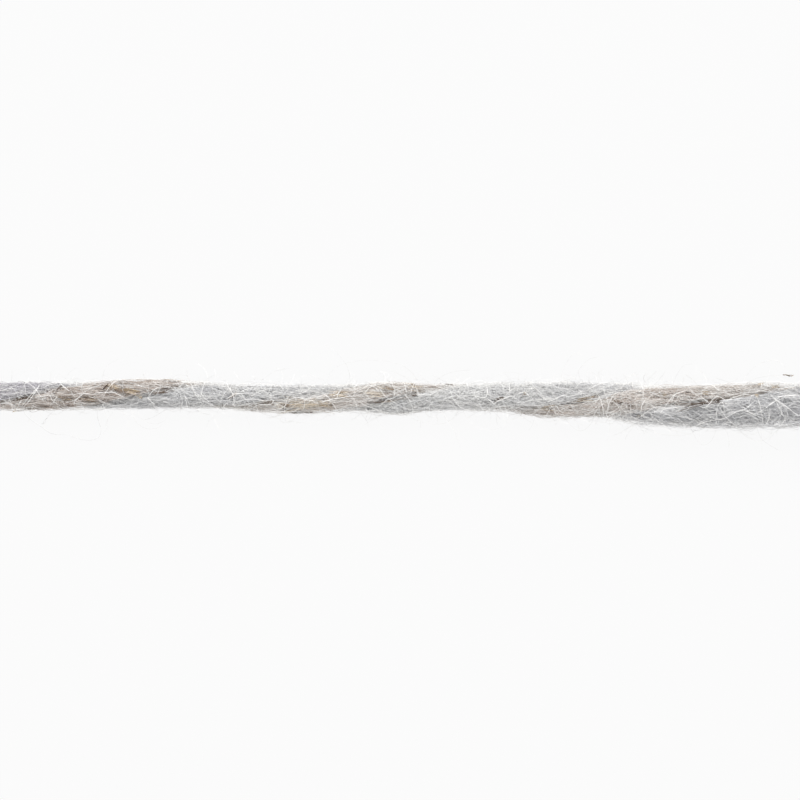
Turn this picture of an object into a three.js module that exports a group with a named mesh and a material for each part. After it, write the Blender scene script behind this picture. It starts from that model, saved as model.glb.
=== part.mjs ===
// A length of two-ply, thick-and-thin knitting yarn, lying straight along X on the surface z = 0.
// Two soft wool plies are wrapped round each other with an S twist and pressed flat against each other:
// an oatmeal tweed ply, and a grey one that swells into a slub towards +X.
// Millimetres, +Z up. The origin is the middle of the strand, on the surface that it lies on.

import * as THREE from "three";

// Driving dimensions
const LENGTH = 66; // the whole cut length
const GAP = 0.3; // the room left between the two plies' inner faces
const INNER_SHARE = 0.2; // how much of a ply's depth lies on the inner side of its widest line
const SQUASH = 0.14; // how far the soft strand is pressed flat where it touches the surface
const SIDES = 16; // facets round each ply
const STEPS = 108; // rings along each ply

// The strand's thickness along its length, for each ply. Depth is measured away from the other ply,
// and width across it. middle is how far the strand's middle line wanders to the side.
const thickness = {
  columns: ["station", "middle", "oatmealDepth", "greyDepth", "oatmealWidth", "greyWidth"],
  rows: [
    [-33.0, 0.55, 0.89, 1.1, 1.78, 1.82],
    [-28.0, 0.55, 0.89, 1.1, 1.82, 1.82],
    [-23.0, 0.58, 0.89, 1.07, 1.82, 1.82],
    [-18.0, 0.69, 0.93, 1.13, 1.85, 1.85],
    [-13.0, 0.58, 0.82, 1.04, 1.64, 1.68],
    [-8.0, 0.34, 0.83, 1.12, 1.7, 1.75],
    [-3.0, 0.43, 0.88, 1.11, 1.68, 1.82],
    [-0.3, 0.42, 0.96, 1.26, 1.7, 1.92],
    [2.0, 0.44, 0.77, 1.15, 1.65, 1.75],
    [7.0, 0.48, 0.79, 1.31, 1.65, 1.89],
    [10.3, 0.27, 0.95, 1.51, 1.78, 2.21],
    [14.2, 0.27, 0.88, 1.51, 1.8, 2.28],
    [17.0, 0.01, 0.98, 1.62, 1.95, 2.92],
    [22.0, -0.18, 1.08, 1.9, 1.95, 2.99],
    [27.0, -0.04, 1.25, 2.1, 2.0, 3.28],
    [33.0, -0.06, 1.1, 1.92, 1.92, 2.99],
  ],
};

// The twist: how many turns the plies have made at each station. At a whole number the oatmeal ply is on
// top, and halfway between two whole numbers the grey one is.
const twist = {
  columns: ["station", "turns"],
  rows: [
    [-33.0, -0.56],
    [-27.1, -0.265],
    [-22.9, 0.0],
    [-18.5, 0.2],
    [-13.9, 0.49],
    [-11.2, 0.6],
    [-8.5, 0.755],
    [-5.7, 0.87],
    [-3.6, 0.97],
    [-1.2, 1.16],
    [1.6, 1.33],
    [4.6, 1.49],
    [8.0, 1.58],
    [11.4, 1.74],
    [14.2, 1.86],
    [16.0, 2.0],
    [18.4, 2.14],
    [20.9, 2.23],
    [23.2, 2.29],
    [25.6, 2.345],
    [28.1, 2.42],
    [33.0, 2.57],
  ],
};

const plies = [
  { name: "ply_oatmeal", depth: "oatmealDepth", width: "oatmealWidth", side: 1, colour: "#bcb1a4" },
  { name: "ply_grey", depth: "greyDepth", width: "greyWidth", side: -1, colour: "#cdd0d2" },
];

// Reads one column of a table at any station, on a smooth curve through its rows.
function readTable(table, column, x) {
  const k = table.columns.indexOf(column);
  const rows = table.rows;
  const slope = (i) => {
    const before = rows[Math.max(i - 1, 0)];
    const after = rows[Math.min(i + 1, rows.length - 1)];
    return (after[k] - before[k]) / (after[0] - before[0]);
  };
  let i = 0;
  while (i < rows.length - 2 && x > rows[i + 1][0]) {
    i += 1;
  }
  const span = rows[i + 1][0] - rows[i][0];
  const t = (x - rows[i][0]) / span;
  const startWeight = (1 + 2 * t) * (1 - t) ** 2;
  const endWeight = t * t * (3 - 2 * t);
  const startSlopeWeight = t * (1 - t) ** 2 * span;
  const endSlopeWeight = t * t * (t - 1) * span;
  return (
    startWeight * rows[i][k] +
    endWeight * rows[i + 1][k] +
    startSlopeWeight * slope(i) +
    endSlopeWeight * slope(i + 1)
  );
}

// One point of a ply's section, as [y, z] from the strand's middle line. angle runs once round the ply:
// its outer half is a deep round, and its inner half, against the other ply, is nearly flat.
function sectionPoint(ply, x, angle) {
  const oatmealDepth = readTable(thickness, "oatmealDepth", x);
  const greyDepth = readTable(thickness, "greyDepth", x);
  const contact = (greyDepth - oatmealDepth) / 2;
  const depth = readTable(thickness, ply.depth, x) - GAP / 2;
  const width = readTable(thickness, ply.width, x);
  const bulge = Math.sin(angle) > 0 ? 1 - INNER_SHARE : INNER_SHARE;
  const across = (width / 2) * Math.cos(angle);
  const away = contact + ply.side * (GAP / 2 + depth * (INNER_SHARE + bulge * Math.sin(angle)));
  const turned = 2 * Math.PI * readTable(twist, "turns", x);
  return [
    away * Math.sin(turned) + across * Math.cos(turned),
    away * Math.cos(turned) - across * Math.sin(turned),
  ];
}

// How high the middle line lies at a station, so that the lower ply is pressed onto the surface.
function restHeight(x) {
  let lowest = 0;
  for (const ply of plies) {
    for (let i = 0; i < 36; i += 1) {
      lowest = Math.min(lowest, sectionPoint(ply, x, (i / 36) * 2 * Math.PI)[1]);
    }
  }
  return -lowest - SQUASH;
}

// A ply starts as a straight bar of round section. Each of its points is then moved to its place on the
// twisted, uneven ply, and a point that would go below the surface stays on it.
function plyGeometry(ply) {
  const round = new THREE.Shape();
  round.absarc(0, 0, 1, 0, 2 * Math.PI);
  const geometry = new THREE.ExtrudeGeometry(round, {
    depth: LENGTH,
    steps: STEPS,
    curveSegments: SIDES / 2,
    bevelEnabled: false,
  });
  const points = geometry.attributes.position;
  for (let i = 0; i < points.count; i += 1) {
    const x = points.getZ(i) - LENGTH / 2;
    const angle = ply.side * Math.atan2(points.getY(i), points.getX(i));
    const [y, z] = sectionPoint(ply, x, angle);
    const middle = readTable(thickness, "middle", x);
    points.setXYZ(i, x, middle + y, Math.max(restHeight(x) + z, 0));
  }
  geometry.computeVertexNormals();
  return geometry;
}

const strand = new THREE.Group();
for (const ply of plies) {
  const wool = new THREE.MeshStandardMaterial({ color: ply.colour, roughness: 0.95, metalness: 0 });
  const mesh = new THREE.Mesh(plyGeometry(ply), wool);
  mesh.name = ply.name;
  strand.add(mesh);
}

export default strand;
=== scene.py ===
import math

import bpy
import numpy as np
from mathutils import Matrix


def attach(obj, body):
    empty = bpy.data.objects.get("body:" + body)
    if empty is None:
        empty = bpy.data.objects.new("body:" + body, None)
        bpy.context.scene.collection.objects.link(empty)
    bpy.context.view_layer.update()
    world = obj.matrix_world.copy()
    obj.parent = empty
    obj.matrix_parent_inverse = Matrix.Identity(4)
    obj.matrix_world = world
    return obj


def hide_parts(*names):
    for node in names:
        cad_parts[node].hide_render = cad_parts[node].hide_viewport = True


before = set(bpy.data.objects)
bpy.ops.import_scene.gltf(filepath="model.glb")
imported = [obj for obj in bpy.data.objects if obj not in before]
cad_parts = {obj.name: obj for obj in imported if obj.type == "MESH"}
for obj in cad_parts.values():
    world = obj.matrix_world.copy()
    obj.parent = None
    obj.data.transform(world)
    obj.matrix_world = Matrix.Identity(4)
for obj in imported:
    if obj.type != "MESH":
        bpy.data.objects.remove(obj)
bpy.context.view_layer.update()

# The camera, the floor and the light. The strand lies on a white light table and is seen from
# straight above. The table glows almost as bright as it looks, so the strand throws hardly any
# shadow and its edges turn pale. A large soft light beyond its upper edge makes that side lighter.
MM = 0.001
VIEW_WIDTH = 57.0  # how much of the strand the photograph shows across, in millimetres
VIEW_MIDDLE_Y = 0.27  # the photograph's middle line, in millimetres from the middle of the box
STRAND_MIDDLE_Z = 1.3  # about half its height
LENS = 100.0
SENSOR = 36.0

camera_data = bpy.data.cameras.new("camera")
camera_data.lens = LENS
camera_data.sensor_width = SENSOR
camera = bpy.data.objects.new("camera", camera_data)
camera_distance = VIEW_WIDTH * LENS / SENSOR
camera.location = (0, VIEW_MIDDLE_Y * MM, (camera_distance + STRAND_MIDDLE_Z) * MM)
bpy.context.scene.collection.objects.link(camera)
bpy.context.scene.camera = camera
bpy.context.scene.view_settings.view_transform = "Standard"
# light goes on between the pale fibres many times before it leaves the wool
bpy.context.scene.cycles.diffuse_bounces = 12


def linear(hex_colour):
    """An sRGB hex colour as Blender's linear red, green, blue and alpha."""
    parts = [int(hex_colour[i : i + 2], 16) / 255 for i in (1, 3, 5)]
    return (*(p / 12.92 if p <= 0.04045 else ((p + 0.055) / 1.055) ** 2.4 for p in parts), 1)


def add_node(tree, kind, settings=None, sockets=None, links=None):
    """Adds a node with its settings, its sockets' values, and links from (node, output) pairs.
    Sockets go by name, or by number where a node has two of the same name."""
    node = tree.nodes.new(kind)
    for name, value in (settings or {}).items():
        setattr(node, name, value)
    for name, value in (sockets or {}).items():
        node.inputs[name].default_value = value
    for name, (source, output) in (links or {}).items():
        tree.links.new(source.outputs[output], node.inputs[name])
    return node


def new_material(name):
    """An empty node material and its node tree."""
    material = bpy.data.materials.new(name)
    material.use_nodes = True
    material.node_tree.nodes.clear()
    return material, material.node_tree


# opal acrylic: a matt white sheet lit from behind
opal_acrylic, tree = new_material("opal_acrylic")
surface = add_node(
    tree,
    "ShaderNodeBsdfPrincipled",
    sockets={
        "Base Color": linear("#262626"),
        "Roughness": 1.0,
        "Specular IOR Level": 0.0,
        "Emission Color": linear("#ffffff"),
        "Emission Strength": 0.93,
    },
)
add_node(tree, "ShaderNodeOutputMaterial", links={"Surface": (surface, "BSDF")})

FLOOR_SIZE = 6.0  # in metres
bpy.ops.mesh.primitive_plane_add(size=FLOOR_SIZE)
floor = bpy.context.object
floor.name = "light_table"
floor.data.materials.append(opal_acrylic)

world = bpy.data.worlds.new("studio")
world.use_nodes = True
world.node_tree.nodes.clear()
sky = add_node(
    world.node_tree, "ShaderNodeBackground", sockets={"Color": (1, 1, 1, 1), "Strength": 1.27}
)
add_node(world.node_tree, "ShaderNodeOutputWorld", links={"Surface": (sky, "Background")})
bpy.context.scene.world = world

SOFTBOX_WATTS = 3.0
SOFTBOX_SIZE, SOFTBOX_BEHIND, SOFTBOX_HEIGHT = 0.3, 0.4, 0.35  # in metres
softbox_data = bpy.data.lights.new("softbox", "AREA")
softbox_data.shape = "SQUARE"
softbox_data.size = SOFTBOX_SIZE
softbox_data.energy = SOFTBOX_WATTS
softbox = bpy.data.objects.new("softbox", softbox_data)
softbox.location = (0, SOFTBOX_BEHIND, SOFTBOX_HEIGHT)
softbox.rotation_euler = (-math.atan2(SOFTBOX_BEHIND, SOFTBOX_HEIGHT), 0, 0)
bpy.context.scene.collection.objects.link(softbox)

# The two plies. Each is a soft, loosely spun single of carded wool, and they are twisted round each
# other with an S twist, which presses their inner sides flat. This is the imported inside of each,
# thinner than the CAD solid that it replaces. The loose fibres of the sections below lie on it.
LENGTH = 66.0  # this and the sizes below are in millimetres
STATIONS = 661  # one every 0.1 mm
INNER_SHARE = 0.2  # of a ply's depth, on the side that is pressed against the other ply
SQUASH = 0.14  # how much the strand's weight flattens its underside

# how thick the plies are along the strand, in the same stations as the solids
thickness = {
    "station": [-33, -28, -23, -18, -13, -8, -3, -0.3, 2, 7, 10.3, 14.2, 17, 22, 27, 33],
    "middle": [0.55, 0.55, 0.58, 0.69, 0.58, 0.34, 0.43, 0.42,
               0.44, 0.48, 0.27, 0.27, 0.01, -0.18, -0.04, -0.06],
    "oatmeal_depth": [0.89, 0.89, 0.89, 0.93, 0.82, 0.83, 0.88, 0.96,
                      0.77, 0.79, 0.95, 0.88, 0.98, 1.08, 1.25, 1.1],
    "grey_depth": [1.1, 1.1, 1.07, 1.13, 1.04, 1.12, 1.11, 1.26,
                   1.15, 1.31, 1.51, 1.51, 1.62, 1.9, 2.1, 1.92],
    "oatmeal_width": [1.78, 1.82, 1.82, 1.85, 1.64, 1.7, 1.68, 1.7,
                      1.65, 1.65, 1.78, 1.8, 1.95, 1.95, 2.0, 1.92],
    "grey_width": [1.82, 1.82, 1.82, 1.85, 1.68, 1.75, 1.82, 1.92,
                   1.75, 1.89, 2.21, 2.28, 2.92, 2.99, 3.28, 2.99],
}
# how many turns the plies have made: at a whole number the oatmeal one is on top
twist = {
    "station": [-33, -27.1, -22.9, -18.5, -13.9, -11.2, -8.5, -5.7, -3.6, -1.2, 1.6,
                4.6, 8, 11.4, 14.2, 16, 18.4, 20.9, 23.2, 25.6, 28.1, 33],
    "turns": [-0.56, -0.265, 0, 0.2, 0.49, 0.6, 0.755, 0.87, 0.97, 1.16, 1.33,
              1.49, 1.58, 1.74, 1.86, 2, 2.14, 2.23, 2.29, 2.345, 2.42, 2.57],
}
plies = {
    "oatmeal": {"node": "ply_oatmeal", "side": 1},
    "grey": {"node": "ply_grey", "side": -1},
}


def smooth_column(table, column, x):
    """A column of a table at any stations, on a smooth curve through its rows."""
    station = np.array(table["station"], float)
    value = np.array(table[column], float)
    before = np.maximum(np.arange(len(value)) - 1, 0)
    after = np.minimum(np.arange(len(value)) + 1, len(value) - 1)
    slope = (value[after] - value[before]) / (station[after] - station[before])
    i = np.clip(np.searchsorted(station, x) - 1, 0, len(station) - 2)
    span = station[i + 1] - station[i]
    t = (x - station[i]) / span
    return (
        (1 + 2 * t) * (1 - t) ** 2 * value[i]
        + t * t * (3 - 2 * t) * value[i + 1]
        + t * (1 - t) ** 2 * span * slope[i]
        + t * t * (t - 1) * span * slope[i + 1]
    )


stations = np.linspace(-LENGTH / 2, LENGTH / 2, STATIONS)
columns = {
    name: smooth_column(thickness, name, stations) for name in thickness if name != "station"
}
columns["turns"] = smooth_column(twist, "turns", stations)


def at(column, x):
    """A column's value at any stations."""
    return np.interp(x, stations, columns[column])


def section_point(ply, x, angle, share):
    """y and z, from the strand's middle line, of a point in a ply. angle runs once round the ply,
    from one edge over its outer side. share is 1 on its surface, and less further in, but the
    inner side stays against the other ply."""
    side = plies[ply]["side"]
    contact = (at("grey_depth", x) - at("oatmeal_depth", x)) / 2
    depth = at(ply + "_depth", x)
    outer = np.sin(angle) > 0
    bulge = np.where(outer, (1 - INNER_SHARE) * share, INNER_SHARE)
    across = share * at(ply + "_width", x) / 2 * np.cos(angle)
    away = contact + side * depth * (INNER_SHARE + bulge * np.sin(angle))
    turned = 2 * np.pi * at("turns", x)
    return (
        away * np.sin(turned) + across * np.cos(turned),
        away * np.cos(turned) - across * np.sin(turned),
    )


# how far the strand's middle line is above the surface that it lies on
all_round = np.linspace(0, 2 * np.pi, 96, endpoint=False)
lowest = np.min(
    [section_point(ply, stations[:, None], all_round, 1.0)[1].min(axis=1) for ply in plies], axis=0
)
columns["rise"] = -lowest - SQUASH


def ply_point(ply, x, angle, share, floor_gap=0.01):
    """Points in a ply in the strand's frame, in millimetres. None lies below the surface."""
    y, z = section_point(ply, x, angle, share)
    z = np.maximum(at("rise", x) + z, floor_gap)
    return np.stack(np.broadcast_arrays(x, at("middle", x) + y, z), axis=-1)


SINGLES_TWIST = 0.5  # how far a fibre turns round its own ply, in radians a millimetre


def streaks(rng, side, terms, finest, drift):
    """A smooth random unevenness of about -1 to 1 over a ply, drawn out along its fibres. It adds
    up terms waves, with up to finest of them round the ply."""
    around = rng.integers(2, finest, terms)
    along = rng.uniform(-drift, drift, terms)
    phase = rng.uniform(0, 2 * np.pi, terms)

    def value(x, angle):
        turned = angle - side * SINGLES_TWIST * x
        return sum(
            np.sin(m * turned + f * x + p) for m, f, p in zip(around, along, phase)
        ) / math.sqrt(terms / 2)

    return value


FIRM_WIDTH, PUFFED_WIDTH = 2.0, 3.1


def looseness(ply, x):
    """0 where a ply is thin and firmly spun, 1 where it is thickest and puffed up, in the slub."""
    return np.clip((at(ply + "_width", x) - FIRM_WIDTH) / (PUFFED_WIDTH - FIRM_WIDTH), 0, 1)


CORE_SHARE = 0.53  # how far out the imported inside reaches, as a share of the ply
CORE_PUFF = 0.05  # how much further where the ply is puffed up
CORE_RIDGES = 0.04  # the height of the ridges along it
CORE_RECESS = 0.4  # it ends this far behind the cut
CORE_RINGS = 330
CORE_SIDES = 40


def core_mesh(ply, rng):
    """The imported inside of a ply: a closed twisted bar with shallow ridges along its fibres."""
    side = plies[ply]["side"]
    ridges = streaks(rng, side, terms=30, finest=16, drift=0.8)
    x = np.linspace(-LENGTH / 2 + CORE_RECESS, LENGTH / 2 - CORE_RECESS, CORE_RINGS)[:, None]
    angle = side * np.linspace(0, 2 * np.pi, CORE_SIDES, endpoint=False)[None, :]
    share = CORE_SHARE + CORE_PUFF * looseness(ply, x) + CORE_RIDGES * ridges(x, angle)
    points = ply_point(ply, x, angle, share, floor_gap=0.0).reshape(-1, 3)
    ring = np.arange(CORE_RINGS - 1)[:, None] * CORE_SIDES
    corner = np.arange(CORE_SIDES)[None, :]
    following = (corner + 1) % CORE_SIDES
    next_ring = ring + CORE_SIDES
    quads = np.stack(
        [ring + corner, next_ring + corner, next_ring + following, ring + following], axis=-1
    ).reshape(-1, 4)
    first_end = list(range(CORE_SIDES))
    last_end = list(range(len(points) - 1, len(points) - CORE_SIDES - 1, -1))
    mesh = bpy.data.meshes.new(ply + "_ply")
    mesh.from_pydata((points * MM).tolist(), [], quads.tolist() + [first_end, last_end])
    mesh.validate()
    mesh.shade_smooth()
    return mesh


def set_tones(ramp, tones):
    """Gives a colour ramp its stops, from (position, colour) pairs."""
    stops = ramp.color_ramp.elements
    while len(stops) < len(tones):
        stops.new(0.5)
    for stop, (position, colour) in zip(stops, tones):
        stop.position = position
        stop.color = linear(colour)


def finish_wool(tree, colour, through, sockets, links):
    """Wool's surface: a matt front, mixed with a share, through, of light from behind."""
    front = add_node(
        tree, "ShaderNodeBsdfPrincipled", sockets=sockets, links={"Base Color": colour, **links}
    )
    back = add_node(tree, "ShaderNodeBsdfTranslucent", links={"Color": colour})
    both = add_node(
        tree,
        "ShaderNodeMixShader",
        sockets={"Fac": through},
        links={1: (front, "BSDF"), 2: (back, "BSDF")},
    )
    add_node(tree, "ShaderNodeOutputMaterial", links={"Surface": (both, "Shader")})


STREAK_WIDTH = 0.1 * MM
STREAK_SQUEEZE = 0.12  # the streaks are about eight times as long as they are wide


def packed_wool_with_painted_shade(name, dark, light):
    """Carded wool seen deep between its outer fibres: dull, with fine streaks, and coloured a little
    darker than the fibres as painted shade of the depth. The streaks are drawn three times as coarse
    as the 0.03 mm fibres, which would be too fine to show."""
    material, tree = new_material(name)
    place = add_node(tree, "ShaderNodeTexCoord")
    stretched = add_node(
        tree,
        "ShaderNodeMapping",
        sockets={"Scale": (STREAK_SQUEEZE, 1, 1)},
        links={"Vector": (place, "Object")},
    )
    grain = add_node(
        tree,
        "ShaderNodeTexNoise",
        sockets={"Scale": 1 / (2 * STREAK_WIDTH), "Detail": 3.0, "Roughness": 0.6},
        links={"Vector": (stretched, "Vector")},
    )
    tones = add_node(tree, "ShaderNodeValToRGB", links={"Fac": (grain, "Fac")})
    set_tones(tones, [(0.35, dark), (0.65, light)])
    bump = add_node(
        tree,
        "ShaderNodeBump",
        sockets={"Strength": 0.6, "Distance": 0.05 * MM},
        links={"Height": (grain, "Fac")},
    )
    finish_wool(
        tree,
        (tones, "Color"),
        through=0.3,
        sockets={"Roughness": 0.9, "Specular IOR Level": 0.2},
        links={"Normal": (bump, "Normal")},
    )
    return material


# their colours are a little darker than the fibres' own: painted shade of the depth inside the ply
core_wools = {
    "oatmeal": packed_wool_with_painted_shade("packed_oatmeal_wool_painted_shade", "#c4bcb4", "#dcd6d0"),
    "grey": packed_wool_with_painted_shade("packed_grey_wool_painted_shade", "#dadadb", "#ebebeb"),
}


def add_piece(name, mesh, material):
    """Puts a mesh in the scene as a piece that rides on the strand."""
    mesh.materials.append(material)
    piece = bpy.data.objects.new(name, mesh)
    bpy.context.scene.collection.objects.link(piece)
    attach(piece, "root")
    return piece


cores = {}
for number, ply in enumerate(plies):
    rng = np.random.default_rng(100 + number)
    cores[ply] = add_piece(ply + "_ply", core_mesh(ply, rng), core_wools[ply])
    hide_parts(plies[ply]["node"])

# The roving fibres, the body of each ply. They are wool fibres some centimetres long, carded side
# by side and spun with a Z twist, so that on the strand's outside they run nearly straight along
# it. They lie packed further in, and sparse at the surface, which makes the ply's edges soft.
END_JITTER = 0.2  # a clean cut leaves the fibres this uneven
ABOVE_TABLE = 0.002  # no fibre's side is lower than this


def tube_mesh(name, lines, radius, shade):
    """Closed three-sided tubes as one mesh. lines holds each fibre's points in millimetres, radius
    its radius at each, and shade a number from 0 to 1 for each fibre, which its material reads."""
    fibres, points = lines.shape[:2]
    along = np.gradient(lines, axis=1)
    along /= np.maximum(np.linalg.norm(along, axis=2, keepdims=True), 1e-9)
    side = np.empty_like(lines)
    carried = np.cross(along[:, 0], [0.31, 0.52, 0.79])  # any direction that no fibre starts in
    for k in range(points):
        carried = carried - (carried * along[:, k]).sum(axis=1, keepdims=True) * along[:, k]
        carried /= np.maximum(np.linalg.norm(carried, axis=1, keepdims=True), 1e-9)
        side[:, k] = carried
    up = np.cross(along, side)
    turn = 2 * np.pi * np.arange(3) / 3
    spread = side[:, :, None] * np.cos(turn)[:, None] + up[:, :, None] * np.sin(turn)[:, None]
    rings = lines[:, :, None] + radius[:, :, None, None] * spread
    rings[..., 2] = np.maximum(rings[..., 2], ABOVE_TABLE)

    def index(fibre, point, corner):
        return (fibre * points + point) * 3 + corner % 3

    fibre = np.arange(fibres)[:, None, None]
    point = np.arange(points - 1)[None, :, None]
    corner = np.arange(3)[None, None, :]
    face = ((0, 0), (0, 1), (1, 1), (1, 0))  # its corners, as steps along the fibre and round it
    quads = np.stack([index(fibre, point + p, corner + c) for p, c in face], axis=-1).reshape(-1)
    fibre = np.arange(fibres)
    starts = np.stack([index(fibre, 0, c) for c in (2, 1, 0)], axis=-1)
    ends = np.stack([index(fibre, points - 1, c) for c in (0, 1, 2)], axis=-1)
    corners = np.concatenate([quads, starts.reshape(-1), ends.reshape(-1)])
    quad_starts = np.arange(fibres * (points - 1) * 3) * 4
    loop_start = np.concatenate([quad_starts, len(quads) + np.arange(2 * fibres) * 3])
    mesh = bpy.data.meshes.new(name)
    mesh.vertices.add(fibres * points * 3)
    mesh.vertices.foreach_set("co", (rings * MM).astype(np.float32).reshape(-1))
    mesh.loops.add(len(corners))
    mesh.loops.foreach_set("vertex_index", corners.astype(np.int32))
    mesh.polygons.add(len(loop_start))
    mesh.polygons.foreach_set("loop_start", loop_start.astype(np.int32))
    mesh.update(calc_edges=True)
    shades = np.repeat(np.clip(shade, 0, 1), points * 3).astype(np.float32)
    mesh.attributes.new("shade", "FLOAT", "POINT").data.foreach_set("value", shades)

    # each fibre is one upright strip of the texture, three faces wide, with its two ends on top
    strip_width, strip_length = 3.6, points + 1.0
    strips_across = max(1, round(math.sqrt(fibres * strip_length / strip_width)))
    rows = math.ceil(fibres / strips_across)
    left = (np.arange(fibres) % strips_across) * strip_width
    bottom = (np.arange(fibres) // strips_across) * strip_length
    u = np.empty((fibres, points - 1, 3, 4))
    v = np.empty_like(u)
    u[:] = left[:, None, None, None] + np.arange(3)[:, None] + np.array([0, 1, 1, 0])
    v[:] = bottom[:, None, None, None] + np.arange(points - 1)[:, None, None]
    v += np.array([0, 0, 1, 1])
    end_u = left[:, None] + np.array([0.1, 1.1, 0.6])
    end_v = bottom[:, None] + points - 1 + np.array([0.1, 0.1, 0.9])
    all_u = np.concatenate([u.reshape(-1), end_u.reshape(-1), (end_u + 1.5).reshape(-1)])
    all_v = np.concatenate([v.reshape(-1), end_v.reshape(-1), end_v.reshape(-1)])
    all_u /= strips_across * strip_width
    all_v /= rows * strip_length
    places = np.stack([all_u, all_v], axis=-1).astype(np.float32)
    mesh.uv_layers.new(name="OFBake").data.foreach_set("uv", places.reshape(-1))
    return mesh


MOTTLE_SIZE = 1.2 * MM
MOTTLE = 0.12  # how far the mottle moves a fibre's tone along its row of colours
CAST_FULL, CAST_GONE = -26.5 * MM, -22.5 * MM  # the stations between which a cast fades out


def wool_fibre(name, tones, through, cast="#ffffff"):
    """Single wool fibres: matt and slightly see-through, so that a fibre with light behind it
    glows. Each has its own tone from the row of colours, and fades a little along its length.
    cast tints the wool towards the strand's left-hand end, where it was dyed less evenly."""
    material, tree = new_material(name)
    shade = add_node(tree, "ShaderNodeAttribute", settings={"attribute_name": "shade"})
    place = add_node(tree, "ShaderNodeTexCoord")
    mottle = add_node(
        tree,
        "ShaderNodeTexNoise",
        sockets={"Scale": 1 / MOTTLE_SIZE, "Detail": 2.0},
        links={"Vector": (place, "Object")},
    )
    uneven = add_node(
        tree,
        "ShaderNodeMapRange",
        sockets={"From Min": 0.3, "From Max": 0.7, "To Min": -MOTTLE, "To Max": MOTTLE},
        links={"Value": (mottle, "Fac")},
    )
    mixed = add_node(
        tree,
        "ShaderNodeMath",
        settings={"operation": "ADD", "use_clamp": True},
        links={0: (shade, "Fac"), 1: (uneven, "Result")},
    )
    row = add_node(tree, "ShaderNodeValToRGB", links={"Fac": (mixed, "Value")})
    set_tones(row, tones)
    station = add_node(tree, "ShaderNodeSeparateXYZ", links={"Vector": (place, "Object")})
    left_end = add_node(
        tree,
        "ShaderNodeMapRange",
        sockets={"From Min": CAST_FULL, "From Max": CAST_GONE, "To Min": 1.0, "To Max": 0.0},
        links={"Value": (station, "X")},
    )
    dyed = add_node(
        tree,
        "ShaderNodeMixRGB",
        settings={"blend_type": "MULTIPLY"},
        sockets={"Color2": linear(cast)},
        links={"Fac": (left_end, "Result"), "Color1": (row, "Color")},
    )
    finish_wool(
        tree,
        (dyed, "Color"),
        through,
        sockets={"Roughness": 0.75, "IOR": 1.55, "Specular IOR Level": 0.25},
        links={},
    )
    return material


# oatmeal wool is a warm, uneven blend; the grey is even and cool, and lets more light through
fibre_wools = {
    "oatmeal": wool_fibre(
        "oatmeal_wool_fibre",
        [(0.0, "#98857a"), (0.15, "#c4b6ac"), (0.4, "#dfd8d2"), (0.7, "#ece8e4"), (1.0, "#f8f7f5")],
        through=0.45,
    ),
    "grey": wool_fibre(
        "grey_wool_fibre",
        [(0.0, "#d6d6d7"), (0.3, "#e5e5e6"), (0.7, "#ededed"), (1.0, "#f6f6f5")],
        through=0.6,
        cast="#f2f0f3",
    ),
}


def near_ends(place, times):
    """1 at both ends of a fibre, where place is 0 and 1, down to 0 at 1/times of its length."""
    return np.maximum(0, 1 - np.minimum(place, 1 - place) * times)


def add_fibres(name, lines, thick, shade, material, tip=0.5):
    """Adds a piece of many fibres. Each is thick millimetres thick, but thins out to a share, tip,
    of that over the last eighth of its length at both ends."""
    place = np.linspace(0, 1, lines.shape[1])
    taper = np.minimum(1, tip + (1 - tip) * np.minimum(place, 1 - place) * 8)
    mesh = tube_mesh(name, lines, thick[:, None] / 2 * taper[None, :], shade)
    return add_piece(name, mesh, material)


def wave(rng, s, count, lengths):
    """A sine wave along each fibre, of a random length and phase."""
    turned = 2 * np.pi * s / rng.uniform(*lengths, (count, 1))
    return np.sin(turned + rng.uniform(0, 2 * np.pi, (count, 1)))


def crimp(rng, s, count, sizes, lengths):
    """The crimp of wool: three random waves added up along each fibre."""
    return sum(rng.uniform(*sizes, (count, 1)) * wave(rng, s, count, lengths) for _ in range(3))


OPEN_SIDE = (0.04 * np.pi, 0.96 * np.pi)  # where fibres have their middles, round the ply
TUCK = 0.35  # how far in between the plies a fibre goes before it is lost, in radians
SLOWEST_TURN = 0.05  # in radians a millimetre
SHORTEST_FIBRE = 1.5
DIP, DIP_LENGTHS = 0.03, (2.0, 7.0)  # the rise and fall of one fibre
BUNDLE_HEIGHT = 0.04  # and of a bundle of them
END_DIVE = 0.2  # how deep a fibre's ends go into the ply, as a share of it
LEAST_SHARE, MOST_SHARE = 0.5, 1.25


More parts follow.
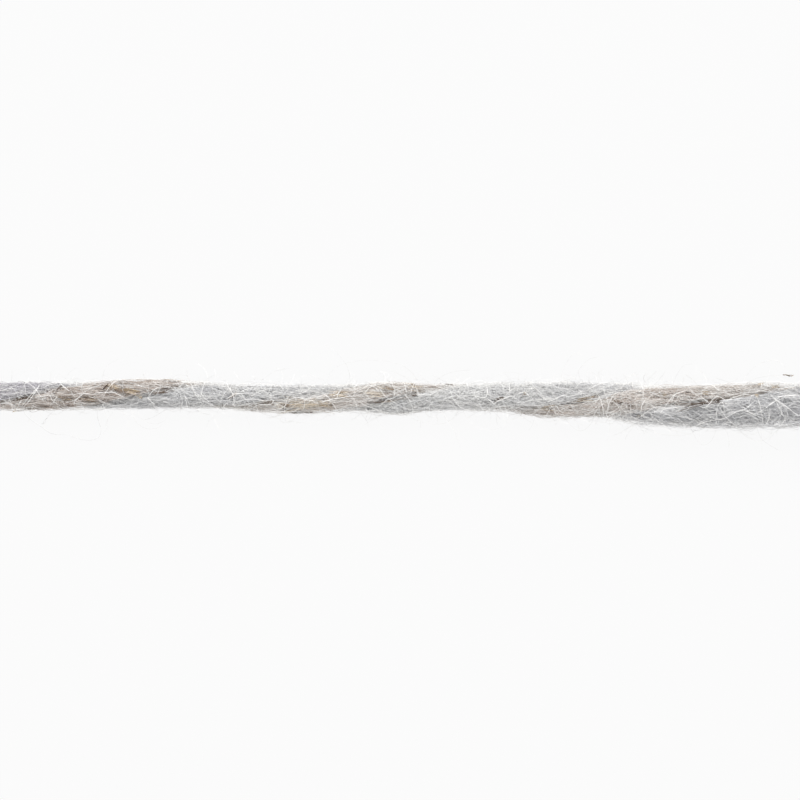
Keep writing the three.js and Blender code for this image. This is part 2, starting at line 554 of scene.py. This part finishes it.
def roving_lines(ply, layer, rng):
    """Fibres along a ply, each with a tone and a middle station. Each comes up from between the
    plies, crosses the ply's open side at its own depth, and goes down again or ends at a cut."""
    side = plies[ply]["side"]
    count = layer["count"][ply]
    puffed = 1 + (layer["loosened_count"] - 1) * looseness(ply, stations)
    weight = np.cumsum(columns[ply + "_width"] * puffed)
    middle = np.interp(rng.random(count), weight / weight[-1], stations)
    angle_middle = rng.uniform(*OPEN_SIDE, count)
    rate = side * SINGLES_TWIST * rng.normal(1.0, layer["rate_spread"], count)
    reach = rng.uniform(*layer["reach"], (2, count))
    back_room = np.where(rate > 0, angle_middle + TUCK, np.pi + TUCK - angle_middle)
    front_room = np.where(rate > 0, np.pi + TUCK - angle_middle, angle_middle + TUCK)
    steep = np.maximum(np.abs(rate), SLOWEST_TURN)
    cut = LENGTH / 2 - rng.uniform(0, END_JITTER, (2, count))
    back = np.minimum.reduce([reach[0], back_room / steep, middle + cut[0]])
    front = np.minimum.reduce([reach[1], front_room / steep, cut[1] - middle])
    keep = back + front > SHORTEST_FIBRE
    middle, angle_middle, rate, back, front = (
        values[keep] for values in (middle, angle_middle, rate, back, front)
    )
    count = keep.sum()
    place = np.linspace(0, 1, layer["points"])[None, :]
    s = -back[:, None] + (back + front)[:, None] * place
    x = middle[:, None] + s
    bends = crimp(rng, s, count, layer["crimp"], lengths=(1.6, 5.0))
    angle = angle_middle[:, None] + rate[:, None] * s + bends
    bundles = streaks(rng, side, terms=40, finest=22, drift=0.9)
    level = rng.normal(layer["share"], layer["share_spread"], (count, 1))
    dips = DIP * wave(rng, s, count, DIP_LENGTHS)
    from_cut = np.minimum(np.abs(x[:, :1] + LENGTH / 2), np.abs(x[:, -1:] - LENGTH / 2))
    at_cut = from_cut < 2 * END_JITTER
    dive = np.where(at_cut, 0.0, -END_DIVE * near_ends(place, 6))
    level = level + layer["loosened_share"] * looseness(ply, x)
    share = level + dips + BUNDLE_HEIGHT * bundles(x, angle) + dive
    share = np.clip(share, LEAST_SHARE, MOST_SHARE)
    tone = streaks(rng, side, terms=40, finest=14, drift=0.5)(middle, angle_middle)
    return ply_point(ply, x, angle, share), tone, middle


# three depths of fibres, thinner the further out they lie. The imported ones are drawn 0.03 to 0.042
# mm thick, coarse for wool, so that they show. Where a ply is puffed up, loosened_count multiplies
# how many there are, and loosened_share moves them.
roving_layers = {
    "packed": {"count": {"oatmeal": 1250, "grey": 1750}, "loosened_count": 1.3, "points": 11,
               "share": 0.66, "share_spread": 0.05, "loosened_share": -0.03, "rate_spread": 0.3,
               "reach": (3.0, 9.0), "crimp": (0.02, 0.06), "thick": (0.03, 0.042)},
    "sparse": {"count": {"oatmeal": 1250, "grey": 1650}, "loosened_count": 0.6, "points": 13,
               "share": 0.76, "share_spread": 0.08, "loosened_share": -0.05, "rate_spread": 0.6,
               "reach": (1.5, 5.0), "crimp": (0.03, 0.08), "thick": (0.018, 0.031)},
    "loose": {"count": {"oatmeal": 450, "grey": 900}, "loosened_count": 0.7, "points": 14,
              "share": 0.9, "share_spread": 0.1, "loosened_share": 0.0, "rate_spread": 1.2,
              "reach": (1.0, 4.0), "crimp": (0.05, 0.16), "thick": (0.014, 0.025)},
}
# a ply's mean shade, and how far groups of fibres and single ones stray from it
roving_looks = {
    "oatmeal": {"mean": 0.52, "group": 0.18, "spread": 0.13},
    "grey": {"mean": 0.52, "group": 0.07, "spread": 0.05},
}
# how much paler or darker than its mean each ply is along the strand
paleness = {
    "station": [-33, -28, -24, -19, -15, -7, -2, 1, 10, 17, 24, 33],
    "oatmeal": [0, 0.03, -0.17, -0.17, 0.02, 0.08, 0.05, 0, 0.04, -0.04, 0.03, 0],
    "grey": [0, -0.05, -0.05, 0, 0, 0, 0.07, 0.2, 0.16, -0.15, -0.22, -0.2],
}
on_ply = {ply: [] for ply in plies}
for number, (ply, look) in enumerate(roving_looks.items()):
    for depth, (layer_name, layer) in enumerate(roving_layers.items()):
        rng = np.random.default_rng(200 + 10 * number + depth)
        lines, tone, middle = roving_lines(ply, layer, rng)
        thick = rng.uniform(*layer["thick"], len(lines))
        own = look["spread"] * rng.standard_normal(len(lines))
        shade = look["mean"] + look["group"] * tone + own + smooth_column(paleness, ply, middle)
        name = f"{ply}_{layer_name}_fibres"
        piece = add_fibres(name, lines, thick, shade, fibre_wools[ply], tip=0.6)
        on_ply[ply].append(piece)

# The cut ends. Scissors leave the end of each ply as a blunt brush of fibre ends, not all of the
# same length. They fill the ply's whole section in front of its packed inside.
TIP_POINTS = 4
TIP_LENGTHS = (0.9, 1.5)
TIP_THICK = (0.035, 0.055)  # coarse for wool, so that they close the end
TIP_SPLAY = (-0.05, 0.12)  # how far they spread at the cut, as a share of the ply
OUTERMOST = 0.97
INNER_TIPS = 0.25  # this share of them is on the side towards the other ply
tip_counts = {"oatmeal": {-1: 260, 1: 340}, "grey": {-1: 330, 1: 800}}


def cut_lines(ply, end, count, rng):
    """Short fibres that run to the cut. end is -1 at the strand's left-hand end, 1 at the slub."""
    side = plies[ply]["side"]
    angle = rng.uniform(0, np.pi, (count, 1)) + np.pi * (rng.random((count, 1)) < INNER_TIPS)
    share = OUTERMOST * np.sqrt(rng.random((count, 1)))
    along = np.linspace(0, 1, TIP_POINTS)[None, :]
    past = rng.uniform(-1.5 * END_JITTER, 0.5 * END_JITTER, (count, 1))
    x = end * (LENGTH / 2 + past - rng.uniform(*TIP_LENGTHS, (count, 1)) * (1 - along))
    stray = rng.normal(0, 0.12, (count, 1)) * along
    turned = side * SINGLES_TWIST * (x - end * LENGTH / 2) + stray
    splay = 1 + rng.uniform(*TIP_SPLAY, (count, 1)) * along**2
    return ply_point(ply, x, angle + turned, share * splay)


for number, (ply, counts) in enumerate(tip_counts.items()):
    rng = np.random.default_rng(250 + number)
    lines = np.concatenate([cut_lines(ply, end, count, rng) for end, count in counts.items()])
    thick = rng.uniform(*TIP_THICK, len(lines))
    look = roving_looks[ply]
    shade = look["mean"] + 1.5 * look["spread"] * rng.standard_normal(len(lines))
    name = ply + "_cut_ends"
    piece = add_fibres(name, lines, thick, shade, fibre_wools[ply], tip=0.7)
    on_ply[ply].append(piece)

# The fibres that cross over. Fine pale fibres have worked loose and been caught again. They lie on
# the strand at all angles and across the groove between the plies, and soften the line there.
OUTLINE_ANGLES = 72


def strand_outline():
    """How far both plies together reach from the middle line, at each station and angle round."""
    bins = np.zeros((len(stations), OUTLINE_ANGLES))
    fine = np.linspace(0, 2 * np.pi, 10 * OUTLINE_ANGLES, endpoint=False)[None, :]
    row = np.arange(len(stations))[:, None]
    for ply in plies:
        y, z = section_point(ply, stations[:, None], fine, 1.0)
        around = np.arctan2(z, y) / (2 * np.pi) * OUTLINE_ANGLES
        column = np.round(around).astype(int) % OUTLINE_ANGLES
        np.maximum.at(bins, (np.broadcast_to(row, column.shape), column), np.hypot(y, z))
    bins = np.maximum.reduce([np.roll(bins, shift, axis=1) for shift in range(-2, 3)])
    return (np.roll(bins, 1, axis=1) + 2 * bins + np.roll(bins, -1, axis=1)) / 4


outline = strand_outline()


def outline_radius(x, angle):
    """The outline at any station and angle, from the four nearest places."""
    along = (x + LENGTH / 2) / LENGTH * (len(stations) - 1)
    along = np.clip(along, 0, len(stations) - 1.001)
    around = (angle / (2 * np.pi) * OUTLINE_ANGLES) % OUTLINE_ANGLES
    i, j = along.astype(int), around.astype(int) % OUTLINE_ANGLES
    a, b = along - i, around - around.astype(int)
    k = (j + 1) % OUTLINE_ANGLES
    return (
        (1 - a) * ((1 - b) * outline[i, j] + b * outline[i, k])
        + a * ((1 - b) * outline[i + 1, j] + b * outline[i + 1, k])
    )


HAIR_ABOVE_TABLE = 0.015  # no loose fibre's middle line is lower than this


def strand_point(x, angle, lift):
    """Points lift millimetres above the strand's outside. At a quarter turn, angle is on top."""
    reach = outline_radius(x, angle) + lift
    y = at("middle", x) + reach * np.cos(angle)
    z = np.maximum(at("rise", x) + reach * np.sin(angle), HAIR_ABOVE_TABLE)
    return np.stack([x, y, z], axis=-1)


HEADING_CRIMP, HEIGHT_CRIMP = (0.02, 0.2), (0.0, 0.02)
CRIMP_LENGTHS = (0.8, 3.0)
ENDS_HELD = 0.08  # how far a fibre's ends are tucked in


def crossing_lines(rng, count, points, lengths, headings, lift):
    """Bent fibres on the strand's outside. A fibre's heading is its angle from the strand's
    direction, and headings says how widely they spread."""
    start_x = rng.uniform(-LENGTH / 2, LENGTH / 2, (count, 1))
    start_angle = rng.uniform(0, 2 * np.pi, (count, 1))
    length = rng.uniform(*lengths, (count, 1))
    place = np.linspace(0, 1, points)[None, :]
    s = length * (place - 0.5)
    heading = rng.normal(0, headings, (count, 1)) + rng.normal(0, 0.35, (count, 1)) * s
    heading += crimp(rng, s, count, HEADING_CRIMP, CRIMP_LENGTHS)
    step = length / (points - 1)
    x = start_x + np.cumsum(np.cos(heading) * step, axis=1)
    x = np.clip(x, -LENGTH / 2, LENGTH / 2)
    radius = outline_radius(start_x, start_angle)
    angle = start_angle + np.cumsum(np.sin(heading) * step, axis=1) / np.maximum(radius, 0.5)
    height = lift + crimp(rng, s, count, HEIGHT_CRIMP, CRIMP_LENGTHS)
    return strand_point(x, angle, height - ENDS_HELD * near_ends(place, 6))


# undyed white wool is the coarsest in the blend, and shines palest on the strand
white_hair = wool_fibre(
    "white_wool_hair",
    [(0.0, "#d5d5d4"), (0.5, "#efeeec"), (1.0, "#fbfaf8")],
    through=0.3,
)


def add_hairs(name, rng, lines, thick, shades, tip=0.5):
    """Adds hairs of white wool. thick holds their least and greatest thickness in millimetres, and
    shades the mean and spread of their shades."""
    own_thick = rng.uniform(*thick, len(lines))
    own_shade = rng.normal(*shades, len(lines))
    add_fibres(name, lines, own_thick, own_shade, white_hair, tip)


CROSSING_COUNT = 1900
CROSSING_HEIGHTS = (-0.26, 0.02)  # above the strand's outside, so most lie in among the roving
rng = np.random.default_rng(300)
height = rng.uniform(*CROSSING_HEIGHTS, (CROSSING_COUNT, 1))
lines = crossing_lines(
    rng, CROSSING_COUNT, points=12, lengths=(1.2, 4.5), headings=0.5, lift=height
)
add_hairs("crossing_fibres", rng, lines, thick=(0.015, 0.026), shades=(0.45, 0.2))

# The white hairs. Coarse white wool hairs lie over both plies, bent and crossed. On the side that
# the photograph shows, each lies where the photograph has it, with its pixels turned to millimetres
# on the strand's upper side. The other sides have as many at random.
PIXEL = VIEW_WIDTH / 800
PHOTO_MIDDLE = 400
HAIR_POINTS = 22
HAIR_THICK = (0.03, 0.045)  # coarser than life, so that they show
HAIR_LIFT = 0.07  # above the strand's outside
HAIR_ARCH = 0.05  # how much higher its middle is
HAIR_TUCK = 0.1  # and how much lower its ends
RANDOM_HAIRS = 330

# the pixels that each hair runs through in the photograph
seen_hairs = [
    [(21, 407.5), (29, 397.5), (41, 384)],
    [(23, 408), (30, 400), (38, 388)],
    [(16, 410), (22, 400)],
    [(0, 404), (7.5, 403), (15, 406), (17.5, 410)],
    [(34, 397.5), (44, 396), (50, 395), (52.5, 400), (60, 406)],
    [(57.5, 396), (54, 402.5), (50, 405)],
    [(74, 405), (76, 400), (82.5, 394)],
    [(72.5, 395), (80, 394), (90, 393.5)],
    [(57.5, 381), (62.5, 386), (70, 391)],
    [(41, 384.5), (60, 382.5), (75, 384)],
    [(95, 392.5), (112, 392.5), (125, 397.5)],
    [(149, 396), (155, 389), (160, 387.5)],
    [(147.5, 397.5), (150, 400), (155, 405)],
    [(152.5, 381), (160, 386), (166, 386), (175, 387.5)],
    [(184, 395), (187.5, 400), (190, 405)],
    [(200, 392.5), (206, 399), (210, 402.5)],
    [(241, 392.5), (244, 397.5), (250, 404)],
    [(226, 399), (236, 394), (246, 394)],
    [(241, 391), (254, 387.5)],
    [(234, 402.5), (250, 399), (265, 401), (272, 399)],
    [(259, 404), (270, 405), (274, 400)],
    [(297.5, 394), (306, 391), (312.5, 386)],
    [(287.5, 400), (297.5, 397.5), (306, 400), (316, 401)],
    [(332.5, 396), (337.5, 394), (341, 390)],
    [(336, 400), (337.5, 396), (339, 391)],
    [(367.5, 385), (375, 387.5), (379, 392.5)],
    [(364, 395), (367.5, 389), (375, 386), (385, 390)],
    [(379, 387.5), (385, 396), (392.5, 401), (397.5, 404)],
    [(380, 405), (387.5, 400), (397.5, 396), (400, 394)],
    [(320, 402.5), (330, 400), (342.5, 397.5), (350, 396)],
    [(429, 399), (432.5, 392.5), (441, 389), (450, 386)],
    [(416, 394), (429, 395), (440, 389)],
    [(474, 390), (475, 396), (480, 400)],
    [(486, 386), (487.5, 391), (485, 397.5), (475, 396)],
    [(487.5, 399), (494, 404), (501, 409)],
    [(490, 409), (495, 402.5), (504, 399), (511, 396)],
    [(517.5, 394), (525, 392.5), (530, 397.5)],
    [(520, 404), (532.5, 400), (550, 399), (556, 399)],
    [(547.5, 402.5), (557.5, 397.5), (567.5, 394)],
    [(556, 406), (560, 411), (562.5, 412.5)],
    [(603, 389), (607, 400), (609, 410)],
    [(640.5, 412.5), (642, 405), (645, 400)],
    [(637.5, 417.5), (650, 410), (657.5, 407), (671, 409)],
    [(657.5, 415), (662.5, 410), (670, 400), (675, 394), (690, 389)],
    [(671, 402.5), (675, 394)],
    [(687.5, 387.5), (695, 394), (702.5, 392.5)],
    [(700, 396), (709, 402.5)],
    [(697.5, 405), (705, 407.5), (716, 397), (726, 400), (732.5, 397.5), (745, 395), (756, 395)],
    [(717, 425), (716, 417.5), (718, 405), (722.5, 402.5), (724, 410), (725, 412.5)],
    [(719, 406), (724, 415), (731, 422.5), (736, 426)],
    [(717.5, 420), (725, 417.5), (736, 412.5), (745, 409), (751, 404), (756, 400)],
    [(756, 396), (759, 402.5), (761, 412.5), (762.5, 421), (763, 427.5)],
    [(746, 411), (755, 415), (764, 419)],
    [(767.5, 406), (775, 401), (779, 397.5), (785, 396), (800, 395)],
    [(770, 394), (776, 400), (787.5, 407.5), (796, 415), (800, 416)],
    [(776, 401), (780, 410), (785, 420)],
    [(770, 407.5), (769, 417.5), (766, 424)],
    [(777.5, 391), (780, 389), (800, 384)],
]


def through_points(points, count):
    """A smooth curve through points, cut into even steps."""
    points = np.array(points, float)
    before, after = 2 * points[0] - points[1], 2 * points[-1] - points[-2]
    padded = np.concatenate([[before], points, [after]])
    t = np.linspace(0, 1, 12, endpoint=False)[:, None]
    pieces = []
    for a, b, c, d in zip(padded, padded[1:], padded[2:], padded[3:]):
        squared = (2 * a - 5 * b + 4 * c - d) * t**2
        pieces.append(0.5 * (2 * b + (c - a) * t + squared + (3 * b - a - 3 * c + d) * t**3))
    curve = np.concatenate(pieces + [points[-1:]])
    walked = np.concatenate([[0], np.cumsum(np.linalg.norm(np.diff(curve, axis=0), axis=1))])
    even = np.linspace(0, walked[-1], count)
    return np.stack([np.interp(even, walked, curve[:, k]) for k in range(curve.shape[1])], axis=1)


upper_angles = np.linspace(np.pi, 0, 61)


def upper_height(x, y, beyond):
    """How high the strand's upper side is at places seen from above, or beyond past its edges."""
    heights = np.empty(len(x))
    for k, (x_k, y_k) in enumerate(zip(x, y)):
        side = strand_point(np.full(len(upper_angles), x_k), upper_angles, 0.0)
        order = np.argsort(side[:, 1])
        heights[k] = np.interp(y_k, side[order, 1], side[order, 2], left=beyond, right=beyond)
    return heights


def from_middle(pixels):
    """How far the photograph's pixels are from its middle, in millimetres across and up."""
    return (pixels[:, 0] - PHOTO_MIDDLE) * PIXEL, (PHOTO_MIDDLE - pixels[:, 1]) * PIXEL


def from_photo(pixels):
    """Points on the strand's upper side that the camera sees at the photograph's pixels. A higher
    point is nearer to the camera, so it lies closer to the middle than it looks."""
    x, y = from_middle(pixels)
    z = np.full(len(x), STRAND_MIDDLE_Z)
    for _ in range(2):
        nearer = 1 - (z - STRAND_MIDDLE_Z) / camera_distance
        z = upper_height(x * nearer, y * nearer + VIEW_MIDDLE_Y, STRAND_MIDDLE_Z)
    nearer = 1 - (z - STRAND_MIDDLE_Z) / camera_distance
    return np.stack([x * nearer, y * nearer + VIEW_MIDDLE_Y, z], axis=1)


rng = np.random.default_rng(400)
place = np.linspace(0, 1, HAIR_POINTS)
lines = []
for pixels in seen_hairs:
    line = from_photo(through_points(pixels, HAIR_POINTS))
    line[:, 2] = np.convolve(np.pad(line[:, 2], 2, "edge"), np.full(5, 0.2), "valid")
    line[:, 2] += HAIR_LIFT + HAIR_ARCH * np.sin(np.pi * place) - HAIR_TUCK * near_ends(place, 8)
    line[:, 1:2] += crimp(rng, line[:, :1], 1, sizes=(0.0, 0.02), lengths=(0.7, 2.5))
    lines.append(line)
at_random = crossing_lines(
    rng, RANDOM_HAIRS, HAIR_POINTS, lengths=(1.5, 6.0), headings=0.9, lift=0.06
)
middle = at_random[:, HAIR_POINTS // 2]
in_photo = (np.abs(middle[:, 0]) < VIEW_WIDTH / 2) & (middle[:, 2] > STRAND_MIDDLE_Z)
lines = np.concatenate([np.array(lines), at_random[~in_photo]])
add_hairs("white_hairs", rng, lines, HAIR_THICK, shades=(0.8, 0.15))

# The tweed flecks. Short tufts of dyed brown and golden wool were carded into the oatmeal ply.
# Those on the side that the photograph shows lie where it has them, and others are at random.
# The dark ones along the groove between the plies are partly painted shade of the groove.
FLECK_POINTS = 7
FLECK_THICK = (0.025, 0.042)
RANDOM_FLECKS = 70
RANDOM_FLECK_LENGTHS, RANDOM_FLECK_WIDTHS = (0.4, 2.0), (0.1, 0.3)
UPPER_SIDE = 0.7  # above this height the photograph shows the oatmeal ply
OATMEAL_RADIUS = 0.8

# dyed wool: dull, from dark brown to a pale gold, and hardly see-through. Its dark end also serves
# as painted shade in the groove between the plies.
fleck_and_groove_shade_wool = wool_fibre(
    "dyed_fleck_and_groove_shade_wool",
    [(0.0, "#3f3329"), (0.3, "#655950"), (0.55, "#908275"), (0.7, "#ae9a7a"), (0.85, "#c8bcab"),
     (1.0, "#dad2c6")],
    through=0.15,
)
# each fleck's pixels across and down in the photograph, its length and width in pixels, its tilt
# in degrees, how many fibres it has, and their shade
# the dark rows at 23, 88, 162, 382 to 410, 499 and 700 to 716 pixels across lie along the groove
# between the plies: partly dark fleck fibres, partly painted shade of the groove
seen_flecks_and_groove_shade = [
    (58.5, 388, 9, 1.6, 35, 7, 0.2),
    (64, 398, 16, 5, 0, 9, 0.5),
    (23, 398.5, 26, 1.8, 10, 9, 0.1),
    (88, 398.5, 20, 6, -5, 15, 0.42),
    (105, 387, 10, 1.6, 45, 7, 0.1),
    (112, 387.5, 16, 4, -16, 12, 0.66),
    (121, 390.5, 20, 3, -12, 12, 0.4),
    (130, 391, 22, 4, -14, 14, 0.62),
    (140.5, 397, 4, 4, 40, 9, 0.7),
    (162, 392, 26, 2, 12, 7, 0.25),
    (232, 396, 12, 3, 25, 4, 0.5),
    (268, 402.5, 15, 3, 0, 8, 0.4),
    (288, 406.5, 16, 3, 0, 6, 0.4),
    (305, 404.5, 60, 8, 2, 24, 0.92),
    (311, 402, 12, 7, 0, 7, 0.5),
    (339, 395.5, 22, 6, 5, 12, 0.93),
    (374, 394, 22, 6, -5, 11, 0.95),
    (386, 388.5, 18, 5, -12, 8, 0.5),
    (382, 401.5, 34, 1.5, 12, 6, 0.3),
    (400, 399.5, 12, 1.5, 12, 4, 0.2),
    (410, 396.5, 16, 1.5, 10, 5, 0.3),
    (415, 387, 16, 4, -10, 8, 0.85),
    (499, 399.5, 14, 2.5, 20, 6, 0.2),
    (524.5, 393, 4, 3, 0, 4, 0.85),
    (546, 409, 22, 4, 5, 5, 0.5),
    (587, 398.5, 32, 4, 12, 7, 0.4),
    (617, 401, 13, 3.5, -18, 7, 0.4),
    (630, 405.5, 8, 1.5, 0, 3, 0.2),
    (638.5, 416.5, 5, 2.5, 25, 4, 0.45),
    (664.5, 394.5, 5, 3, 0, 4, 0.8),
    (706, 393, 8, 5, 0, 5, 0.5),
    (700, 403.5, 54, 3, 9, 15, 0.18),
    (716, 401, 16, 2.5, 9, 9, 0.05),
    (761, 383.5, 7, 3, 10, 5, 0.8),
    (775, 385.5, 10, 4, 10, 8, 0.72),
    (756.5, 396, 5, 2.5, 0, 4, 0.7),
    (14.4, 411.3, 4, 3, 0, 4, 0.85),
    (787, 375.2, 10, 0.8, -8, 7, 0.42),
    (792.5, 375.6, 3, 1, 0, 3, 0.6),
]
rng = np.random.default_rng(500)
lines, shades = [], []
place = np.linspace(-0.5, 0.5, FLECK_POINTS)
for across, down, long, wide, tilt, count, shade in seen_flecks_and_groove_shade:
    # each fibre lies a little askew in its fleck, is shorter than the fleck, and is bent
    turn = math.radians(tilt)
    for _ in range(count):
        own_turn = turn + rng.normal(0, 0.12)
        own_long = long * rng.uniform(0.45, 1.0)
        slide = rng.uniform(-0.5, 0.5) * (long - own_long)
        aside = rng.normal(0, 0.3) * wide + rng.normal(0, 0.6) * (4 * place**2 - 0.3)
        walk = slide + own_long * place
        pixels_across = across + walk * math.cos(own_turn) + aside * math.sin(turn)
        pixels_down = down - walk * math.sin(own_turn) + aside * math.cos(turn)
        line = from_photo(np.stack([pixels_across, pixels_down], axis=1))
        line[:, 2] += rng.uniform(-0.05, 0.03) - 0.2 * place**2
        lines.append(line)
        shades.append(shade + rng.normal(0, 0.14))
for _ in range(RANDOM_FLECKS):
    x = rng.uniform(-LENGTH / 2 + 1, LENGTH / 2 - 1)
    angle = rng.uniform(0.1 * np.pi, 0.9 * np.pi)
    middle = ply_point("oatmeal", np.array(x), np.array(angle), 1.0)
    if abs(x) < VIEW_WIDTH / 2 + 1 and middle[2] > UPPER_SIDE:
        continue
    long, wide = rng.uniform(*RANDOM_FLECK_LENGTHS), rng.uniform(*RANDOM_FLECK_WIDTHS)
    tilt = rng.normal(0, 0.3)
    shade = rng.choice([0.15, 0.25, 0.4, 0.65, 0.85])
    for _ in range(rng.integers(4, 11)):
        walk = rng.uniform(-0.2, 0.2) * long + long * rng.uniform(0.5, 1.0) * place
        aside = rng.normal(0, 0.4) * wide + tilt * walk
        round_ply = angle + aside / OATMEAL_RADIUS + SINGLES_TWIST * walk
        share = rng.uniform(1.0, 1.06) - 0.15 * place**2
        along = np.clip(x + walk, -LENGTH / 2, LENGTH / 2)
        lines.append(ply_point("oatmeal", along, round_ply, share))
        shades.append(shade + rng.normal(0, 0.08))
lines = np.array(lines)
thick = rng.uniform(*FLECK_THICK, len(lines))
add_fibres("tweed_flecks_and_groove_shade", lines, thick, np.array(shades), fleck_and_groove_shade_wool)

# The haze. Fine down stands off the strand all round, most of it on the slub: fibre ends and small
# loops, a fiftieth of a millimetre thick or less.
PAST_CUT = 0.3  # how far beyond the strand's cut ends a loose fibre may reach
MOST_DOWN_AT = 16  # the station where the down is thickest
DOWN_COUNT = 2000


def curled_lines(rng, x, angle, deep, lengths, bends, points):
    """Fibres that come out of the strand at stations x and angles, from deep millimetres below its
    outside. Each leaves between outwards and along the strand, and curls back steadily."""
    count = len(x)
    start = strand_point(x, angle, -deep)
    out = np.stack([np.zeros_like(x), np.cos(angle), np.sin(angle)], axis=1)
    along = np.broadcast_to([1.0, 0.0, 0.0], out.shape)
    around = np.cross(out, along)
    lean = rng.normal(0, 0.8, (count, 1))
    away = rng.uniform(0.15, 1.0, (count, 1))
    first = away * out + rng.choice([-1, 1], (count, 1)) * along + lean * around
    first /= np.linalg.norm(first, axis=1, keepdims=True)
    second = -0.6 * out + rng.normal(0, 0.7, (count, 1)) * along
    second += rng.normal(0, 0.7, (count, 1)) * around
    second -= (second * first).sum(axis=1, keepdims=True) * first
    second /= np.linalg.norm(second, axis=1, keepdims=True)
    bend = rng.uniform(*bends, (count, 1))
    s = rng.uniform(*lengths, (count, 1)) * np.linspace(0, 1, points)[None, :]
    ahead, aside = np.sin(bend * s) / bend, (1 - np.cos(bend * s)) / bend
    lines = start[:, None] + ahead[:, :, None] * first[:, None]
    lines += aside[:, :, None] * second[:, None]
    sideways = crimp(rng, s, count, sizes=(0.0, 0.03), lengths=(0.5, 2.0))
    lines += sideways[:, :, None] * np.cross(first, second)[:, None]
    lines[:, :, 0] = np.clip(lines[:, :, 0], -LENGTH / 2 - PAST_CUT, LENGTH / 2 + PAST_CUT)
    lines[:, :, 2] = np.maximum(lines[:, :, 2], HAIR_ABOVE_TABLE)
    return lines


rng = np.random.default_rng(600)
x = rng.triangular(-LENGTH / 2 + 0.3, MOST_DOWN_AT, LENGTH / 2 - 0.3, DOWN_COUNT)
angle = rng.uniform(-0.2 * np.pi, 1.2 * np.pi, DOWN_COUNT)
lines = curled_lines(rng, x, angle, deep=0.1, lengths=(0.4, 2.4), bends=(0.2, 2.0), points=9)
add_hairs("down", rng, lines, thick=(0.01, 0.02), shades=(0.6, 0.2), tip=0.4)

# The long loose hairs. Single fine hairs have come out of the strand and stand off it in wide
# bends, some held at both ends. Those beside the strand lie where the photograph has them, and the
# other sides have a few.
WISP_POINTS = 26
WISP_THICK = (0.012, 0.018)
WISP_SHADES = (0.35, 0.12)
WISP_SWAYS = (-0.7, 0.4)  # how far down or up from the strand's middle height each bends
RANDOM_WISPS = 40

# the pixels that each runs through in the photograph, from inside the strand outwards
seen_wisps = [
    [(22, 404), (24, 413), (31, 420), (40, 426), (50, 433), (58, 434.5), (68, 435), (76, 438),
     (85, 440), (93, 440), (100, 436), (101, 428), (98, 420), (97, 411), (96, 403)],
    [(103, 403), (105, 412), (108, 420), (107, 428), (103, 433)],
    [(117, 403), (120, 410), (127, 419), (128, 427)],
    [(46, 390), (50, 380), (51, 371)],
    [(58, 390), (63, 381), (69, 372), (76, 368)],
    [(101, 388), (104, 374), (109, 365), (119, 359)],
    [(10, 391), (12, 378), (12, 369)],
    [(199, 390), (204, 381), (216, 374)],
    [(254, 392), (262, 380), (275, 371), (291, 368)],
    [(325, 390), (330, 373), (343, 364), (370, 360), (399, 364), (413, 374), (421, 388)],
    [(266, 403), (272, 416), (290, 421), (311, 423), (325, 417), (332, 405)],
    [(357, 403), (361, 413), (367, 421), (368, 427)],
    [(372, 403), (375, 415), (380, 424), (386, 430)],
    [(557, 390), (562, 375), (567, 362), (575, 353), (584, 355)],
    [(574, 390), (578, 372), (588, 360), (598, 357)],
    [(403, 404), (411, 417), (430, 424), (450, 421), (463, 404)],
    [(461, 404), (468, 420), (485, 430), (504, 425), (513, 405)],
    [(560, 406), (568, 422), (580, 431), (591, 424), (597, 408)],
    [(671, 394), (675, 378), (683, 366), (692, 364)],
    [(740, 394), (747, 376), (760, 364), (776, 360), (786, 368)],
    [(635, 406), (642, 425), (660, 434), (690, 434), (705, 415)],
    [(686, 412), (692, 431), (702, 445), (713, 438), (718, 418)],
    [(734, 414), (742, 433), (756, 441), (769, 436), (775, 416)],
    [(754, 416), (760, 437), (771, 446), (783, 452)],
    [(759, 416), (761, 440), (762, 461)],
    [(480, 392), (492, 378), (510, 372), (528, 378), (536, 392)],
    [(430, 392), (438, 379), (452, 372), (470, 370)],
    [(612, 392), (622, 379), (640, 374), (655, 380)],
    [(740, 390), (752, 380), (768, 376), (784, 375.5), (796, 374)],
]
sways = rng.uniform(*WISP_SWAYS, len(seen_wisps))
sways[-1] = 0  # this one holds the fleck beside the slub
place = np.linspace(0, 1, WISP_POINTS)
lines = []
for pixels, sway in zip(seen_wisps, sways):
    x, y = from_middle(through_points(pixels, WISP_POINTS))
    z = STRAND_MIDDLE_Z + sway * np.sin(np.pi * place)
    lines.append(np.stack([x, y + VIEW_MIDDLE_Y, z], axis=1))
x = rng.uniform(-LENGTH / 2 + 1, LENGTH / 2 - 1, RANDOM_WISPS)
angle = rng.uniform(0.25 * np.pi, 0.75 * np.pi, RANDOM_WISPS)
others = curled_lines(
    rng, x, angle, deep=0.15, lengths=(2.0, 6.0), bends=(0.3, 0.9), points=WISP_POINTS
)
lines = np.concatenate([np.array(lines), others])
thick = rng.uniform(*WISP_THICK, len(lines))
shade = rng.normal(*WISP_SHADES, len(lines))
thick[0], shade[0] = 0.024, 0.0  # the long loop below the left-hand end is coarser and darker
add_fibres("long_hairs", lines, thick, shade, white_hair)

# What the cords are. Both plies together are the yarn's free strand, cut bare at both ends. For
# each ply, a path along its own middle line is laid out and its length measured.
CORD_POINTS = 89
CORD_SHARE = 0.35  # how far out a ply's middle line runs, as a share of it
for ply, core in cores.items():
    x = np.linspace(-LENGTH / 2, LENGTH / 2, CORD_POINTS)
    path = ply_point(ply, x, np.full_like(x, np.pi / 2), CORD_SHARE) * MM
    long = float(np.linalg.norm(np.diff(path, axis=0), axis=1).sum())
